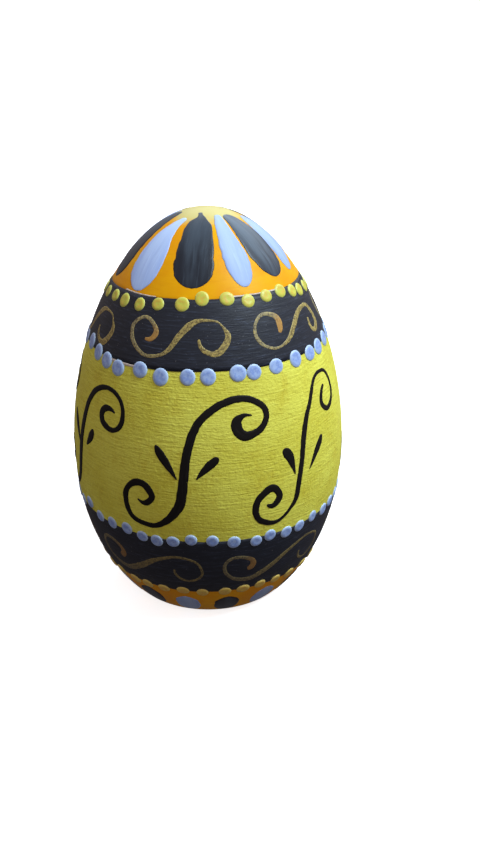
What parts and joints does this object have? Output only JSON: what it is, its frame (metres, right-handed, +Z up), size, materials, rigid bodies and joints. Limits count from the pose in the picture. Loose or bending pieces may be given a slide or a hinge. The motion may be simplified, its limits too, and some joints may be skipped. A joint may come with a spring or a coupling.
{
  "type": "painted wooden egg",
  "caption": "Turned wooden egg with a flat-cut foot, painted in orange, black and yellow bands with petals, scrolls, leaves and rows of raised dots.",
  "frame": {"origin": "centre of the flat foot, on the surface that the egg stands on", "axes": "+Z up through the narrow end; -Y faces the side shown in the picture"},
  "size_m": [0.0455, 0.0454, 0.065],
  "materials": {
    "bare_wood": "sanded, unpainted",
    "orange_paint": "brushed acrylic paint, satin",
    "black_ground_paint": "brushed acrylic paint, satin",
    "yellow_paint": "brushed acrylic paint, satin",
    "violet_paint": "brushed acrylic paint, satin",
    "black_stroke_paint": "acrylic brush strokes, satin",
    "gold_paint": "thin gold-brown brush strokes, satin"
  },
  "bodies": {
    "root": {"bottom_cap_coat": "orange_paint", "bottom_petal_violet_1": "violet_paint", "bottom_petal_violet_2": "violet_paint", "bottom_petal_violet_3": "violet_paint", "bottom_petal_violet_4": "violet_paint", "bottom_petal_violet_5": "violet_paint", "bottom_petal_violet_6": "violet_paint", "bottom_petal_violet_7": "violet_paint", "bottom_petal_violet_8": "violet_paint", "egg_blank": "bare_wood", "leaf_left_1": "black_stroke_paint", "leaf_left_2": "black_stroke_paint", "leaf_left_3": "black_stroke_paint", "leaf_left_4": "black_stroke_paint", "leaf_left_5": "black_stroke_paint", "leaf_left_6": "black_stroke_paint", "leaf_left_7": "black_stroke_paint", "leaf_right_1": "black_stroke_paint", "leaf_right_2": "black_stroke_paint", "leaf_right_3": "black_stroke_paint", "leaf_right_4": "black_stroke_paint", "leaf_right_5": "black_stroke_paint", "leaf_right_6": "black_stroke_paint", "leaf_right_7": "black_stroke_paint", "lower_band_coat": "black_ground_paint", "lower_gold_scroll_1": "gold_paint", "lower_gold_scroll_2": "gold_paint", "lower_gold_scroll_3": "gold_paint", "lower_gold_scroll_4": "gold_paint", "lower_gold_scroll_5": "gold_paint", "lower_gold_scroll_6": "gold_paint", "middle_band_coat": "yellow_paint", "scroll_1": "black_stroke_paint", "scroll_2": "black_stroke_paint", "scroll_3": "black_stroke_paint", "scroll_4": "black_stroke_paint", "scroll_5": "black_stroke_paint", "scroll_6": "black_stroke_paint", "scroll_7": "black_stroke_paint", "top_cap_coat": "orange_paint", "top_petal_black_1": "black_stroke_paint", "top_petal_black_2": "black_stroke_paint", "top_petal_black_3": "black_stroke_paint", "top_petal_black_4": "black_stroke_paint", "top_petal_black_5": "black_stroke_paint", "top_petal_black_6": "black_stroke_paint", "top_petal_violet_1": "violet_paint", "top_petal_violet_2": "violet_paint", "top_petal_violet_3": "violet_paint", "top_petal_violet_4": "violet_paint", "top_petal_violet_5": "violet_paint", "top_petal_violet_6": "violet_paint", "upper_band_coat": "black_ground_paint", "upper_gold_scroll_1": "gold_paint", "upper_gold_scroll_2": "gold_paint", "upper_gold_scroll_3": "gold_paint", "upper_gold_scroll_4": "gold_paint", "upper_gold_scroll_5": "gold_paint", "upper_gold_scroll_6": "gold_paint"}
  },
  "joints": []
}
